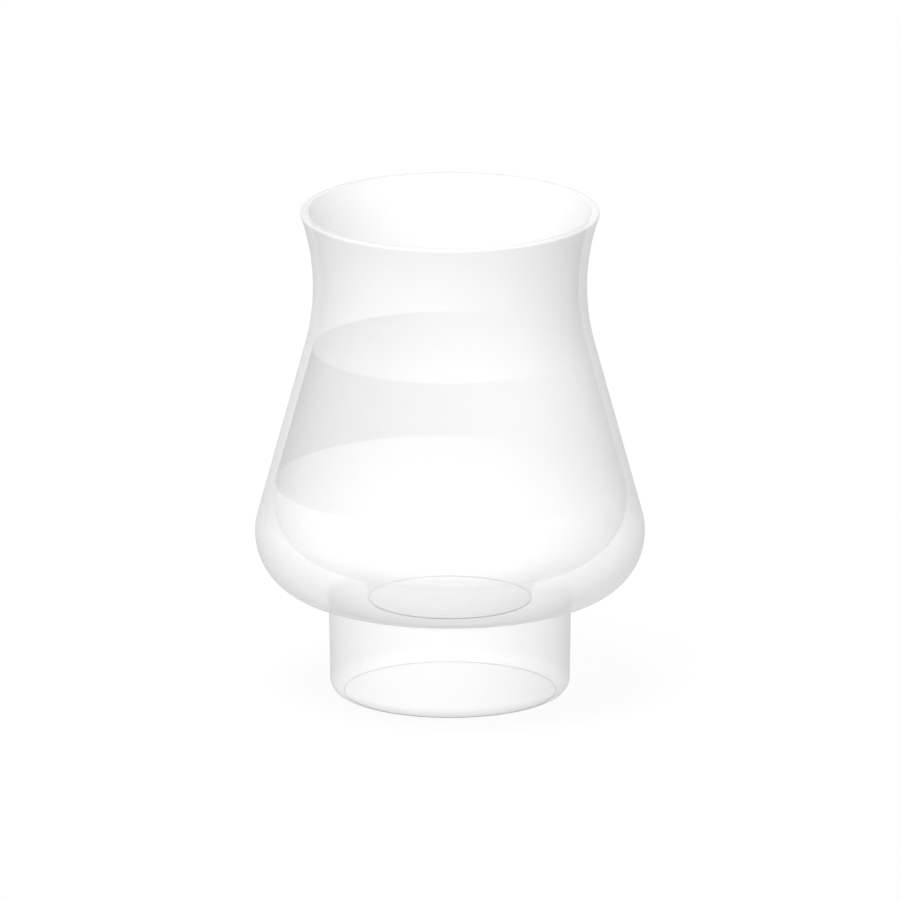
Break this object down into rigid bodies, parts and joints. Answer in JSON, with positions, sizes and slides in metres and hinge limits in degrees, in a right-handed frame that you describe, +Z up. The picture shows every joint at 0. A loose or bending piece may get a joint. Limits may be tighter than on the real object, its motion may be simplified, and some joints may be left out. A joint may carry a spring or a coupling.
{
  "type": "crystal tumbler",
  "caption": "Clear crystal tumbler with a flared lip, narrow waist, tapering side and wide low belly, on a short solid foot, for holding a drink.",
  "frame": {"origin": "centre of the foot's flat base, on the surface that the glass stands on", "axes": "+Z up along the axis of revolution, towards the mouth; +X and +Y are free, because the glass is round"},
  "size_m": [0.094, 0.094, 0.1198],
  "materials": {
    "crystal": "clear, fire-polished"
  },
  "bodies": {
    "root": {"bowl": "crystal", "foot": "crystal"}
  },
  "joints": []
}
